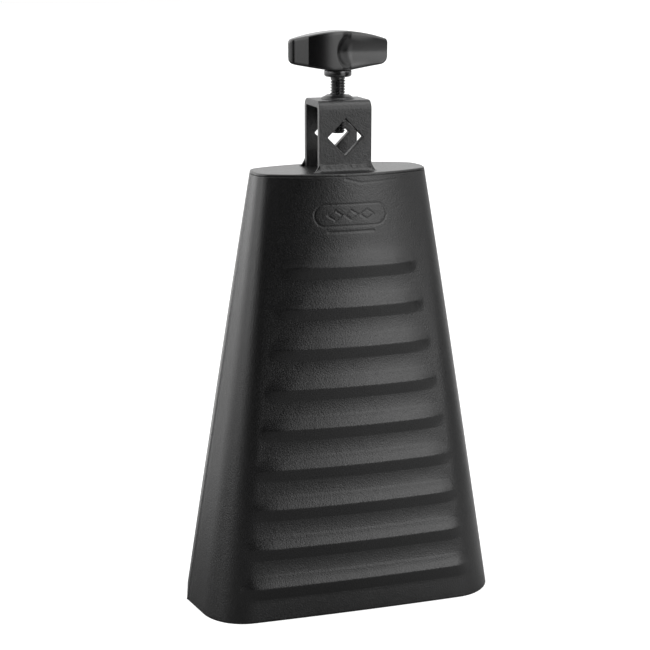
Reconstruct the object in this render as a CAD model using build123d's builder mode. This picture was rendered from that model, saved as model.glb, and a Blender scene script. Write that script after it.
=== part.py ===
"""Cowbell: two ribbed steel shells welded at the side seams, closed by a crown plate.

A bent strap on the crown has a square eye through both legs, standing on its corner, that takes a
mounting rod. A wing bolt turns in a threaded bush in the strap and clamps the rod in the eye.

Frame: millimetres, +Z up, the mouth rests on Z = 0, +X is the wide way, and -Y is the front.
"""
import os
from math import cos, radians, sin, sqrt, tan

from build123d import *

# --- Bell body ---------------------------------------------------------------------------------
BELL_HEIGHT = 228.6
WALL = 1.5
CROWN_THICKNESS = 1.5
SHELL_HEIGHT = BELL_HEIGHT - CROWN_THICKNESS

MOUTH_HALF_WIDTH = 84.0
MOUTH_HALF_DEPTH = 40.3
MOUTH_BOW = 1.7  # how far the face curves back over the half width
MOUTH_CORNER_RADIUS = 24.0
MOUTH_DRAFT = 12.4  # degrees, the lean of the flank from the seam to the corner

CROWN_HALF_WIDTH = 45.8
CROWN_HALF_DEPTH = 22.1
CROWN_BOW = 12.5
CROWN_CORNER_RADIUS = 9.4
CROWN_DRAFT = 8.0

SEAM_HALF_WIDTH = 1.6  # half the width of the side weld beads
SEAM_CROWN = 0.12  # how far a side bead stands out of the flanks
HOLLOW_OVERRUN = 2.0  # how far a cut that hollows a shell runs past its edge
CROWN_WELD_WIDTH = 1.0
CROWN_WELD_CHAMFER = 0.6

# --- Ribs pressed into both faces ----------------------------------------------------------------
RIB_COUNT = 9
RIB_PITCH = 20.5
FIRST_RIB_HEIGHT = 18.6  # height of the lowest crest above the mouth
RIB_RISE = 2.0
RIB_HALF_SPAN = 6.3
RIB_CREST_HALF_SPAN = 0.9
RIB_END_INSET = 17.2  # from the side seam to the end of a rib
RIB_END_SLOPE = 3.2
RIB_END_DROP = 1.3
RIB_ROOT_DEPTH = 0.8
RIB_BITE = 0.25
RIB_CREST_LOSS = 0.12  # taken off the crest where it is flattened

# --- Eye bracket -----------------------------------------------------------------------------------
STRAP_WIDTH = 27.6
STRAP_THICKNESS = 3.5
BRACKET_DEPTH = 27.3
BRACKET_HEIGHT = 35.4
BEND_RADIUS = 4.6
EYE_SIDE = 13.1
EYE_HEIGHT = 17.2  # eye centre above the crown
BRACKET_TOP = BELL_HEIGHT + BRACKET_HEIGHT
FOOT_WELD_LEG = 4.6
FOOT_WELD_THROAT = 1.8  # out from the leg and up from the crown at the middle of the fillet
FOOT_WELD_OVERRUN = 2.8

# --- Threaded bush and wing bolt, 5/16 in with 18 threads to the inch -------------------------------
THREAD_RADIUS = 25.4 * 5 / 16 / 2
RUNNING_CLEARANCE = 0.05
BUSH_BARREL_RADIUS = 6.2
BUSH_BARREL_DEPTH = 3.5
BUSH_FLANGE_RADIUS = 8.5
BUSH_FLANGE_EDGE = 0.5
BUSH_TOP_RADIUS = 5.4
BUSH_RISE = 2.15

STUD_TIP = 246.6
TIP_CHAMFER = 0.9
TIP_TAPER = 1.9
NECK_RADIUS = 3.7
NECK_BOTTOM = 273.8
COLLAR_BOTTOM = 275.0
COLLAR_RADIUS = 7.0
COLLAR_ROUND = 1.1
WING_BOTTOM = 278.3
ANCHOR_BOTTOM = 283.0  # the stud's flattened end, moulded into the wing
ANCHOR_HEIGHT = 5.3
ANCHOR_WIDTH = 11.0
ANCHOR_THICKNESS = 4.8

WING_HALF_LENGTH = 25.3
WING_TOP = 297.9
WING_END_TOP = 293.2
WING_END_BOTTOM = 281.7
WING_SEAT_HALF_LENGTH = 5.0  # the flat that stands on the collar
WING_END_CORNER = 1.8
WING_END_OVERRUN = 0.3  # the side outline runs this far past the tips of the lobes
# One side of the wing in plan, from the tip of the right lobe along its back to the tip of the left
LOBE_CREASE = (22.9, 0.6)  # where the end of the lobe meets its slanted flat
LOBE_SHOULDER = (17.2, 6.6)
HUB_BULGE = (8.5, 8.6)
HUB_BACK = (1.0, 8.4)
HUB_SHOULDER = (-2.2, 7.5)
LOBE_ROOT = (-4.6, 5.6)  # where the other lobe grows out of the hub
LOBE_MIDDLE = (-14.0, 4.8)
LOBE_END = (-23.6, 5.6)
LOBE_TIP = (-WING_HALF_LENGTH, 2.4)
# The finger dish in each lobe: a lying groove with a round end
DISH_RADIUS = 11.3
DISH_HEIGHT = 287.65
DISH_CENTRE_Y = 14.8
DISH_END_X = 6.7

os.makedirs("parts", exist_ok=True)


def blend(height, mouth_value, crown_value):
    """A body dimension at a height, between its values at the mouth and at the crown."""
    share = height / BELL_HEIGHT
    return mouth_value * (1 - share) + crown_value * share


def body_size(height, inset=0.0):
    """Half width, half depth, face radius, corner radius and draft of the body at a height."""
    draft = radians(blend(height, MOUTH_DRAFT, CROWN_DRAFT))
    half_width = blend(height, MOUTH_HALF_WIDTH, CROWN_HALF_WIDTH)
    bow = blend(height, MOUTH_BOW, CROWN_BOW)
    face_radius = (half_width**2 + bow**2) / (2 * bow)
    return (
        half_width - inset / cos(draft),
        blend(height, MOUTH_HALF_DEPTH, CROWN_HALF_DEPTH) - inset,
        face_radius - inset,
        blend(height, MOUTH_CORNER_RADIUS, CROWN_CORNER_RADIUS) - inset,
        draft,
    )


def flank_meets_face(half_width, half_depth, face_radius, draft):
    """The sharp corner where the straight flank would meet the curved face, for X > 0 and Y < 0."""
    centre_y = face_radius - half_depth
    half_chord = cos(draft) * centre_y - sin(draft) * half_width
    power = half_width**2 + centre_y**2 - face_radius**2
    run = sqrt(half_chord**2 - power) - half_chord
    return half_width - run * sin(draft), -run * cos(draft)


def half_section(height, inset=0.0, edge_y=0.0):
    """The front half of the body's plan outline at a height, closed along Y = edge_y."""
    half_width, half_depth, face_radius, corner_radius, draft = body_size(height, inset)
    corner_x, corner_y = flank_meets_face(half_width, half_depth, face_radius, draft)
    edge_x = half_width + edge_y * tan(draft)
    with BuildSketch(Plane.XY.offset(height)) as section:
        with BuildLine():
            Line((edge_x, edge_y), (corner_x, corner_y))
            ThreePointArc((corner_x, corner_y), (0, -half_depth), (-corner_x, corner_y))
            Line((-corner_x, corner_y), (-edge_x, edge_y))
            Line((-edge_x, edge_y), (edge_x, edge_y))
        make_face()
        fillet(section.vertices().group_by(Axis.Y)[0], corner_radius)
    return section.sketch


def whole_section(height, inset=0.0):
    """The body's whole plan outline at a height."""
    with BuildSketch(Plane.XY.offset(height)) as section:
        front = half_section(height, inset)
        add(front)
        mirror(front, about=Plane.XZ)
    return section.sketch


def face_y(x, height):
    """Y of the front face at a height, on the arc of the face without its corners."""
    _, half_depth, face_radius, _, _ = body_size(height)
    return face_radius - half_depth - sqrt(face_radius**2 - x**2)


def rib_section(height, rise, depth):
    """A rib's plan outline: its proud front follows the face, its back lies in the sheet."""
    half_width = body_size(height)[0]
    end_x = half_width - RIB_END_INSET
    crest_x = end_x - RIB_END_SLOPE
    crest_y = face_y(crest_x, height) + depth - rise
    end_y = face_y(end_x, height) + depth + RIB_END_DROP
    with BuildSketch(Plane.XY.offset(height)) as section:
        with BuildLine():
            Line((-end_x, end_y), (-crest_x, crest_y))
            ThreePointArc((-crest_x, crest_y), (0, face_y(0, height) + depth - rise), (crest_x, crest_y))
            Line((crest_x, crest_y), (end_x, end_y))
            back_y = face_y(0, height) + depth + RIB_ROOT_DEPTH
            ThreePointArc((end_x, end_y), (0, back_y), (-end_x, end_y))
        make_face()
    return section.sketch


def rib(crest_height, depth=0.0):
    """One rib pressed out of the front face. A depth of one wall makes the hollow behind it."""
    shoulder_rise = RIB_RISE - RIB_CREST_LOSS
    steps = (
        (-RIB_HALF_SPAN, -RIB_BITE),
        (-RIB_CREST_HALF_SPAN, shoulder_rise),
        (RIB_CREST_HALF_SPAN, shoulder_rise),
        (RIB_HALF_SPAN, -RIB_BITE),
    )
    with BuildPart() as ridge:
        for offset, rise in steps:
            add(rib_section(crest_height + offset, rise, depth))
        loft(ruled=True)
    return ridge.part


# --- Shells ----------------------------------------------------------------------------------------
rib_heights = [FIRST_RIB_HEIGHT + RIB_PITCH * number for number in range(RIB_COUNT)]

with BuildPart() as front_shell:
    for height in (0, SHELL_HEIGHT):
        add(half_section(height, edge_y=-SEAM_HALF_WIDTH))
    loft(ruled=True)
    for height in (0, SHELL_HEIGHT):
        add(half_section(height, inset=WALL, edge_y=HOLLOW_OVERRUN))
    loft(ruled=True, mode=Mode.SUBTRACT)
    for rib_height in rib_heights:
        add(rib(rib_height))
        add(rib(rib_height, depth=WALL), mode=Mode.SUBTRACT)
front_shell.part.label = "front_shell"
export_step(front_shell.part, "parts/front_shell.step")

with BuildPart() as back_shell:
    mirror(front_shell.part, about=Plane.XZ)
back_shell.part.label = "back_shell"
export_step(back_shell.part, "parts/back_shell.step")


# --- Side seams: a ground bead between the two shells, left and right --------------------------------
def seam_section(height, side):
    """The bead's plan outline at a height: flat inside, crowned over the ridge outside."""
    half_width, _, _, _, draft = body_size(height)
    toe_x = half_width - SEAM_HALF_WIDTH * tan(draft)
    root_x = toe_x - WALL / cos(draft)
    with BuildSketch(Plane.XY.offset(height)) as section:
        with BuildLine():
            Line((side * root_x, -SEAM_HALF_WIDTH), (side * toe_x, -SEAM_HALF_WIDTH))
            ThreePointArc(
                (side * toe_x, -SEAM_HALF_WIDTH),
                (side * (half_width + SEAM_CROWN), 0),
                (side * toe_x, SEAM_HALF_WIDTH),
            )
            Line((side * toe_x, SEAM_HALF_WIDTH), (side * root_x, SEAM_HALF_WIDTH))
            Line((side * root_x, SEAM_HALF_WIDTH), (side * root_x, -SEAM_HALF_WIDTH))
        make_face()
    return section.sketch


for seam_name, side in (("left_seam_weld", -1), ("right_seam_weld", 1)):
    with BuildPart() as seam_weld:
        for height in (0, SHELL_HEIGHT):
            add(seam_section(height, side))
        loft(ruled=True)
    seam_weld.part.label = seam_name
    export_step(seam_weld.part, f"parts/{seam_name}.step")


# --- Crown: a plate on the rims of the shells, and the ground weld round its edge --------------------
with BuildPart() as crown_plate:
    add(whole_section(SHELL_HEIGHT, inset=CROWN_WELD_WIDTH))
    extrude(amount=CROWN_THICKNESS)
crown_plate.part.label = "crown_plate"
export_step(crown_plate.part, "parts/crown_plate.step")

with BuildPart() as crown_weld:
    add(whole_section(SHELL_HEIGHT))
    extrude(amount=CROWN_THICKNESS)
    chamfer(crown_weld.edges().group_by(Axis.Z)[-1], CROWN_WELD_CHAMFER)
    add(crown_plate.part, mode=Mode.SUBTRACT)
crown_weld.part.label = "crown_weld"
export_step(crown_weld.part, "parts/crown_weld.step")


# --- Eye bracket: a strap bent to an upside-down U, its legs in front and behind ----------------------
with BuildPart() as eye_bracket:
    inner_height = BRACKET_HEIGHT - STRAP_THICKNESS
    with BuildSketch(Plane.YZ) as strap_profile:
        with Locations((0, BELL_HEIGHT + BRACKET_HEIGHT / 2)):
            outer = Rectangle(BRACKET_DEPTH, BRACKET_HEIGHT)
        fillet(outer.vertices().group_by(Axis.Y)[-1], BEND_RADIUS)
        with BuildSketch(Plane.YZ, mode=Mode.SUBTRACT):
            with Locations((0, BELL_HEIGHT + inner_height / 2)):
                inner = Rectangle(BRACKET_DEPTH - 2 * STRAP_THICKNESS, inner_height)
            fillet(inner.vertices().group_by(Axis.Y)[-1], BEND_RADIUS - STRAP_THICKNESS)
    extrude(amount=STRAP_WIDTH / 2, both=True)
    with BuildSketch(Plane.XZ):
        with Locations((0, BELL_HEIGHT + EYE_HEIGHT)):
            Rectangle(EYE_SIDE, EYE_SIDE, rotation=45)
    extrude(amount=BRACKET_DEPTH, both=True, mode=Mode.SUBTRACT)
    with BuildSketch(Plane.XY.offset(BRACKET_TOP)):
        Circle(BUSH_BARREL_RADIUS)
    extrude(amount=-2 * STRAP_THICKNESS, mode=Mode.SUBTRACT)
eye_bracket.part.label = "eye_bracket"
export_step(eye_bracket.part, "parts/eye_bracket.step")

for weld_name, side in (("front_foot_weld", -1), ("back_foot_weld", 1)):
    leg_y = side * BRACKET_DEPTH / 2
    with BuildPart() as foot_weld:
        with BuildSketch(Plane.YZ):
            with BuildLine():
                Polyline(
                    (leg_y, BELL_HEIGHT),
                    (leg_y + side * FOOT_WELD_LEG, BELL_HEIGHT),
                    (leg_y + side * FOOT_WELD_THROAT, BELL_HEIGHT + FOOT_WELD_THROAT),
                    (leg_y, BELL_HEIGHT + FOOT_WELD_LEG),
                    close=True,
                )
            make_face()
        extrude(amount=STRAP_WIDTH / 2 + FOOT_WELD_OVERRUN, both=True)
    foot_weld.part.label = weld_name
    export_step(foot_weld.part, f"parts/{weld_name}.step")


# --- Threaded bush: a barrel in the top of the strap, with a coned flange above it --------------------
with BuildPart() as thread_bush:
    with BuildSketch(Plane.XZ):
        with BuildLine():
            bore = THREAD_RADIUS + RUNNING_CLEARANCE
            barrel_bottom = BRACKET_TOP - STRAP_THICKNESS - BUSH_BARREL_DEPTH
            Polyline(
                (bore, barrel_bottom),
                (BUSH_BARREL_RADIUS, barrel_bottom),
                (BUSH_BARREL_RADIUS, BRACKET_TOP),
                (BUSH_FLANGE_RADIUS, BRACKET_TOP),
                (BUSH_FLANGE_RADIUS, BRACKET_TOP + BUSH_FLANGE_EDGE),
                (BUSH_TOP_RADIUS, BRACKET_TOP + BUSH_RISE),
                (bore, BRACKET_TOP + BUSH_RISE),
                close=True,
            )
        make_face()
    revolve(axis=Axis.Z)
thread_bush.part.label = "thread_bush"
export_step(thread_bush.part, "parts/thread_bush.step")


# --- Wing bolt: threaded stud with its moulded-in end, round collar, and plastic wing -----------------
with BuildPart() as clamp_stud:
    with BuildSketch(Plane.XZ):
        with BuildLine():
            Polyline(
                (0, STUD_TIP),
                (THREAD_RADIUS - TIP_CHAMFER, STUD_TIP),
                (THREAD_RADIUS, STUD_TIP + TIP_TAPER),
                (THREAD_RADIUS, NECK_BOTTOM),
                (NECK_RADIUS, NECK_BOTTOM),
                (NECK_RADIUS, COLLAR_BOTTOM),
                (THREAD_RADIUS, COLLAR_BOTTOM),
                (THREAD_RADIUS, ANCHOR_BOTTOM),
                (0, ANCHOR_BOTTOM),
                close=True,
            )
        make_face()
    revolve(axis=Axis.Z)
    with BuildSketch(Plane.XY.offset(ANCHOR_BOTTOM)):
        Rectangle(ANCHOR_WIDTH, ANCHOR_THICKNESS)
    extrude(amount=ANCHOR_HEIGHT)
clamp_stud.part.label = "clamp_stud"
export_step(clamp_stud.part, "parts/clamp_stud.step")

with BuildPart() as stud_collar:
    with BuildSketch(Plane.XZ) as collar_profile:
        with Locations(((THREAD_RADIUS + RUNNING_CLEARANCE + COLLAR_RADIUS) / 2, COLLAR_BOTTOM)):
            Rectangle(
                COLLAR_RADIUS - THREAD_RADIUS - RUNNING_CLEARANCE,
                WING_BOTTOM - RUNNING_CLEARANCE - COLLAR_BOTTOM,
                align=(Align.CENTER, Align.MIN),
            )
        fillet(collar_profile.vertices().sort_by(Axis.X)[-2:].sort_by(Axis.Y)[0], COLLAR_ROUND)
    revolve(axis=Axis.Z)
stud_collar.part.label = "stud_collar"
export_step(stud_collar.part, "parts/stud_collar.step")

with BuildPart() as wing_grip:
    with BuildSketch(Plane.XY.offset(WING_BOTTOM)):
        with BuildLine():
            for turn in (1, -1):
                side = [
                    (turn * x, turn * y)
                    for x, y in (
                        LOBE_CREASE,
                        LOBE_SHOULDER,
                        HUB_BULGE,
                        HUB_BACK,
                        HUB_SHOULDER,
                        LOBE_ROOT,
                        LOBE_MIDDLE,
                        LOBE_END,
                        LOBE_TIP,
                        (-LOBE_CREASE[0], -LOBE_CREASE[1]),
                    )
                ]
                Line(side[0], side[1])
                ThreePointArc(side[1], side[2], side[3])
                ThreePointArc(side[3], side[4], side[5])
                ThreePointArc(side[5], side[6], side[7])
                ThreePointArc(side[7], side[8], side[9])
        make_face()
    extrude(amount=WING_TOP - WING_BOTTOM)
    with BuildSketch(Plane.XZ) as elevation:
        with BuildLine():
            end_x = WING_HALF_LENGTH + WING_END_OVERRUN
            Polyline(
                (-end_x, WING_END_TOP),
                (-end_x, WING_END_BOTTOM),
                (-WING_SEAT_HALF_LENGTH, WING_BOTTOM),
                (WING_SEAT_HALF_LENGTH, WING_BOTTOM),
                (end_x, WING_END_BOTTOM),
                (end_x, WING_END_TOP),
            )
            ThreePointArc((end_x, WING_END_TOP), (0, WING_TOP), (-end_x, WING_END_TOP))
        make_face()
        corners = elevation.vertices().group_by(Axis.X)
        fillet(corners[0] + corners[-1], WING_END_CORNER)
    extrude(amount=BRACKET_DEPTH, both=True, mode=Mode.INTERSECT)
    for turn in (1, -1):
        with Locations((turn * DISH_END_X, -turn * DISH_CENTRE_Y, DISH_HEIGHT)):
            Sphere(DISH_RADIUS, mode=Mode.SUBTRACT)
            Cylinder(
                DISH_RADIUS,
                WING_HALF_LENGTH,
                rotation=(0, turn * 90, 0),
                align=(Align.CENTER, Align.CENTER, Align.MIN),
                mode=Mode.SUBTRACT,
            )
    add(clamp_stud.part, mode=Mode.SUBTRACT)
wing_grip.part.label = "wing_grip"
export_step(wing_grip.part, "parts/wing_grip.step")
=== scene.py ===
from math import asin, cos, pi, radians, sin, sqrt, tan

import bmesh
import bpy
import numpy as np
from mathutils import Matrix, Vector


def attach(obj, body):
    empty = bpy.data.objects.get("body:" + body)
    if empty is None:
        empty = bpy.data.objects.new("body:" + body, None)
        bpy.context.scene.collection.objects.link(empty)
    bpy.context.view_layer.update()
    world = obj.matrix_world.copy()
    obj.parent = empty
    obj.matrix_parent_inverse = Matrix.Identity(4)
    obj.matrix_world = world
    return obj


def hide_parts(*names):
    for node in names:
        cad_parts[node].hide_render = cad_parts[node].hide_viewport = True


# The looks of a cowbell with a rod clamp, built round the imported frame. Heights are above the mouth,
# and the wing bolt's axis is the line X = Y = 0.
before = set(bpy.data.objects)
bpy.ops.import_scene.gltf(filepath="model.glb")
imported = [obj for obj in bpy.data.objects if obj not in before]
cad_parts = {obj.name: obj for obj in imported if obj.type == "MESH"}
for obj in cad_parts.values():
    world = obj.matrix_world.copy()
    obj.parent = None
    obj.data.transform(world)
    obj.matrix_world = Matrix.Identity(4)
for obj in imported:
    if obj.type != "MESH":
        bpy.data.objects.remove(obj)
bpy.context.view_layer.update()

# Shapes are worked out in millimetres and written in metres.
MM = 0.001

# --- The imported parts' own sizes, as in the CAD ---------------------------------------------------
BELL_HEIGHT = 228.6
SHELL_HEIGHT = 227.1
WALL = 1.5
SEAM_HALF_WIDTH = 1.6
FIRST_RIB_HEIGHT = 18.6
RIB_PITCH = 20.5
RIB_COUNT = 9
RIB_END_INSET = 17.2
STRAP_TOP = 264.0
THREAD_RADIUS = 3.97
THREAD_PITCH = 25.4 / 18


def new_mesh_object(name, points, faces, material, smooth=True):
    """An object from points in millimetres and faces. Its normals are turned outwards."""
    mesh = bpy.data.meshes.new(name)
    mesh.from_pydata([tuple(p) for p in np.asarray(points, float) * MM], [], faces)
    mesh.validate()
    for polygon in mesh.polygons:
        polygon.use_smooth = smooth
    bm = bmesh.new()
    bm.from_mesh(mesh)
    bmesh.ops.recalc_face_normals(bm, faces=bm.faces)
    bm.to_mesh(mesh)
    bm.free()
    mesh.materials.append(material)
    piece = bpy.data.objects.new(name, mesh)
    bpy.context.scene.collection.objects.link(piece)
    return piece


def settle(piece, body, node):
    """Rides a piece on its body in place of the CAD node that it stands for."""
    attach(piece, body)
    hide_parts(node)
    return piece


def grid_faces(rows, columns, wrap_rows=False, wrap_columns=False):
    """Quads over a grid of points, numbered row by row."""
    faces = []
    for row in range(rows if wrap_rows else rows - 1):
        above = (row + 1) % rows
        for column in range(columns if wrap_columns else columns - 1):
            beside = (column + 1) % columns
            faces.append(
                (
                    row * columns + column,
                    row * columns + beside,
                    above * columns + beside,
                    above * columns + column,
                )
            )
    return faces


# --- Materials -------------------------------------------------------------------------------------
# Noise scales are per metre, and the depths of grain and swell are in metres.
PATCH_SCALE = 45.0
SWELL_SCALE = 160.0
GLOSS_SPREAD = 0.05
SMOOTH_GRAIN = 0.00001  # a grain no deeper than this leaves the gloss even
DARK_TINT, LIGHT_TINT = 0.86, 1.16
RUBBED_COLOUR = (0.16, 0.16, 0.165, 1)
EDGE_STARTS, EDGE_IS_FULL = 0.51, 0.56  # pointiness, which is 0.5 on a flat face


def coat_material(name, colour, rough, grain, grain_depth, swell_depth, metallic=0.0, wear=0.0):
    """A dark finish: fine grain and slow swell in its bump, uneven gloss, and rubbed edges."""
    material = bpy.data.materials.new(name)
    material.use_nodes = True
    tree = material.node_tree
    nodes = tree.nodes
    shader = nodes["Principled BSDF"]
    place = nodes.new("ShaderNodeTexCoord").outputs["Object"]

    def noise(scale, detail, roughness=0.5):
        node = nodes.new("ShaderNodeTexNoise")
        node.inputs["Scale"].default_value = scale
        node.inputs["Detail"].default_value = detail
        node.inputs["Roughness"].default_value = roughness
        tree.links.new(place, node.inputs["Vector"])
        return node.outputs["Fac"]

    def span(value, low, high, from_low=0.3, from_high=0.7):
        node = nodes.new("ShaderNodeMapRange")
        node.inputs["From Min"].default_value = from_low
        node.inputs["From Max"].default_value = from_high
        node.inputs["To Min"].default_value = low
        node.inputs["To Max"].default_value = high
        tree.links.new(value, node.inputs["Value"])
        return node.outputs["Result"]

    rough_spread = GLOSS_SPREAD if grain_depth > SMOOTH_GRAIN else 0.0
    patch = noise(PATCH_SCALE, 3.0)
    speck = noise(grain, 2.0, 0.6)
    tint = nodes.new("ShaderNodeMix")
    tint.data_type = "RGBA"
    tint.inputs[6].default_value = (*[c * DARK_TINT for c in colour], 1)
    tint.inputs[7].default_value = (*[c * LIGHT_TINT for c in colour], 1)
    tree.links.new(span(patch, 0, 1), tint.inputs[0])
    base = tint.outputs[2]
    if wear:
        pointiness = nodes.new("ShaderNodeNewGeometry").outputs["Pointiness"]
        edge = span(pointiness, 0, wear, EDGE_STARTS, EDGE_IS_FULL)
        rubbed = nodes.new("ShaderNodeMix")
        rubbed.data_type = "RGBA"
        rubbed.inputs[7].default_value = RUBBED_COLOUR
        tree.links.new(base, rubbed.inputs[6])
        tree.links.new(edge, rubbed.inputs[0])
        base = rubbed.outputs[2]
    tree.links.new(base, shader.inputs["Base Color"])
    tree.links.new(span(speck, rough - rough_spread, rough + rough_spread), shader.inputs["Roughness"])
    shader.inputs["Metallic"].default_value = metallic

    fine = nodes.new("ShaderNodeBump")
    fine.inputs["Strength"].default_value = 1.0
    fine.inputs["Distance"].default_value = grain_depth
    tree.links.new(speck, fine.inputs["Height"])
    slow = nodes.new("ShaderNodeBump")
    slow.inputs["Strength"].default_value = 1.0
    slow.inputs["Distance"].default_value = swell_depth
    tree.links.new(noise(SWELL_SCALE, 2.0), slow.inputs["Height"])
    tree.links.new(slow.outputs["Normal"], fine.inputs["Normal"])
    tree.links.new(fine.outputs["Normal"], shader.inputs["Normal"])
    return material


powder_coat = coat_material("powder_coat", (0.004, 0.004, 0.0042), 0.33, 1300.0, 0.00012, 0.00008)
coated_weld = coat_material("coated_weld", (0.004, 0.004, 0.0042), 0.36, 1100.0, 0.00012, 0.00012)
coated_strap = coat_material(
    "coated_strap", (0.005, 0.005, 0.0052), 0.40, 1000.0, 0.00018, 0.00012, wear=0.10
)
bush_steel = coat_material(
    "bush_steel", (0.006, 0.006, 0.0062), 0.34, 900.0, 0.00008, 0.0001, wear=0.3
)
stud_steel = coat_material(
    "stud_steel", (0.07, 0.07, 0.071), 0.24, 1600.0, 0.00002, 0.00003, metallic=0.85, wear=0.5
)
collar_steel = coat_material(
    "collar_steel", (0.06, 0.06, 0.061), 0.22, 1600.0, 0.00002, 0.00003, metallic=0.8, wear=0.3
)
wing_plastic = coat_material("wing_plastic", (0.003, 0.003, 0.0032), 0.27, 2200.0, 0.000004, 0.00001)


# --- Bell body: the same outline at every height as the CAD's ----------------------------------------
def between(height, at_mouth, at_crown):
    share = height / BELL_HEIGHT
    return at_mouth * (1 - share) + at_crown * share


class Outline:
    """The body's plan outline at a height, measured along itself from the middle of the face."""

    def __init__(self, height):
        self.draft = radians(between(height, 12.4, 8.0))
        self.half_width = between(height, 84.0, 45.8)
        half_depth = between(height, 40.3, 22.1)
        bow = between(height, 1.7, 12.5)
        self.corner = between(height, 24.0, 9.4)
        self.radius = (self.half_width**2 + bow**2) / (2 * bow)
        self.centre_y = self.radius - half_depth
        along = np.array((-sin(self.draft), -cos(self.draft)))
        inward = np.array((-cos(self.draft), sin(self.draft)))
        start = np.array((self.half_width, 0.0)) + self.corner * inward - np.array((0.0, self.centre_y))
        b = start @ along
        c = start @ start - (self.radius - self.corner) ** 2
        self.flank = -b + sqrt(b * b - c)
        offset = start + self.flank * along
        self.corner_centre = offset + np.array((0.0, self.centre_y))
        self.face_turn = asin(offset[0] / (self.radius - self.corner))
        self.face_length = self.radius * self.face_turn
        self.corner_turn = pi / 2 - self.draft - self.face_turn
        self.corner_length = self.corner * self.corner_turn
        self.length = self.face_length + self.corner_length + self.flank

    def at(self, distance):
        """Points and outward normals at signed distances from the middle of the face."""
        side = np.sign(distance) + (distance == 0)
        run = np.abs(distance)
        on_face = run <= self.face_length
        on_corner = (~on_face) & (run <= self.face_length + self.corner_length)
        turn = np.where(on_face, run / self.radius, self.face_turn + (run - self.face_length) / self.corner)
        turn = np.where(on_face | on_corner, turn, pi / 2 - self.draft)
        back = run - self.face_length - self.corner_length
        x = np.where(on_face, self.radius * np.sin(turn), self.corner_centre[0] + self.corner * np.sin(turn))
        y = np.where(
            on_face,
            self.centre_y - self.radius * np.cos(turn),
            self.corner_centre[1] - self.corner * np.cos(turn),
        )
        on_flank = ~(on_face | on_corner)
        x = np.where(on_flank, x + back * sin(self.draft), x)
        y = np.where(on_flank, y + back * cos(self.draft), y)
        return side * x, y, side * np.sin(turn), -np.cos(turn)

    def distance_of(self, x):
        """How far along the outline the face or corner has a given X."""
        on_face = self.radius * asin(min(1.0, x / self.radius))
        if on_face <= self.face_length:
            return on_face
        reach = min(1.0, (x - self.corner_centre[0]) / self.corner)
        return self.face_length + self.corner * (asin(reach) - self.face_turn)


# Slope of the pressed face over one rib: height above the crest, and slope out of the face.
RIB_FOOT = -6.9
RIB_SHOULDER = 13.6
RIB_SLOPES = (
    (RIB_FOOT, 0.03),
    (-6.4, 0.40),
    (-0.75, 0.38),
    (0.45, -0.55),
    (1.0, -0.52),
    (2.3, -0.40),
    (3.6, -0.20),
    (5.2, -0.12),
    (5.7, -0.30),
    (6.2, -0.30),
    (6.8, -0.10),
    (10.0, -0.05),
    (RIB_SHOULDER, 0.03),
)
RIB_STEP = 0.05
RIB_RISE = 1.84
RIB_MIDDLE = 3.35  # halfway from foot to shoulder
RIB_FADE_END = 24.0  # only the top rib has room to fade this far

# A rib is longest at this height above its crest, and its ends round off above and below that.
RIB_LONGEST = -1.0
RIB_END_HEIGHT = 6.3
RIB_END_ROUNDING = 3.0
RIB_TAPER = 15.0  # along the outline, to a rib's full rise
TAPER_TOP_POWER = 2.2
TAPER_FOOT_POWER = 1.35


def rib_profile():
    """The rib's section as heights above its crest and how far it stands out there."""
    steps = np.arange(RIB_FOOT, RIB_SHOULDER + 0.01, RIB_STEP)
    slope = np.interp(steps, *zip(*RIB_SLOPES))
    up = slope > 0
    slope = np.where(up, slope * -slope[~up].sum() / slope[up].sum(), slope)
    out = np.concatenate(((0.0,), np.cumsum((slope[1:] + slope[:-1]) / 2) * RIB_STEP))
    return steps, out * RIB_RISE / out.max()


rib_steps, rib_out = rib_profile()


def ramp(value, low, high):
    """A smooth step from 0 to 1."""
    share = np.clip((value - low) / (high - low), 0, 1)
    return share * share * (3 - 2 * share)


def rib_relief(outline, distance, height):
    """How far the ribs push the face out at a height, for each distance along the outline."""
    number = round((height - FIRST_RIB_HEIGHT - RIB_MIDDLE) / RIB_PITCH)
    number = int(np.clip(number, 0, RIB_COUNT - 1))
    above = height - FIRST_RIB_HEIGHT - RIB_PITCH * number
    if above < RIB_FOOT or above > RIB_FADE_END:
        return np.zeros_like(distance)
    if above > RIB_SHOULDER:
        out = rib_out[-1] * (1 - ramp(above, RIB_SHOULDER, RIB_FADE_END))
    else:
        out = float(np.interp(above, rib_steps, rib_out))
    end = outline.distance_of(outline.half_width - RIB_END_INSET)
    end = end - RIB_END_ROUNDING * min(1.5, abs(above - RIB_LONGEST) / RIB_END_HEIGHT) ** 2
    share = np.clip((end - np.abs(distance)) / RIB_TAPER, 0, 1)
    return out * (1 - (1 - share) ** TAPER_TOP_POWER) ** TAPER_FOOT_POWER


def capsule_gap(x, z, half_length, radius):
    """Distance from the outline of an oblong with round ends, centred at zero."""
    return np.hypot(np.maximum(np.abs(x) - (half_length - radius), 0), z) - radius


def groove(gap, half_width, depth):
    """A round-bottomed groove that is deepest where the gap is zero."""
    return -depth * (0.5 + 0.5 * np.cos(pi * np.clip(np.abs(gap) / half_width, 0, 1)))


MARK_HEIGHT = 208.0
RING_HALF_LENGTH, RING_HALF_HEIGHT = 19.0, 5.4
LOZENGE_SPACING = 8.5
LOZENGE_STRETCH = 1.5
LOZENGE_SLANT = 1.3
LOZENGE_SIZE = 1.9
LINE_DROP, LINE_HALF_LENGTH, LINE_HALF_WIDTH = 8.4, 12.0, 0.25


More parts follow.
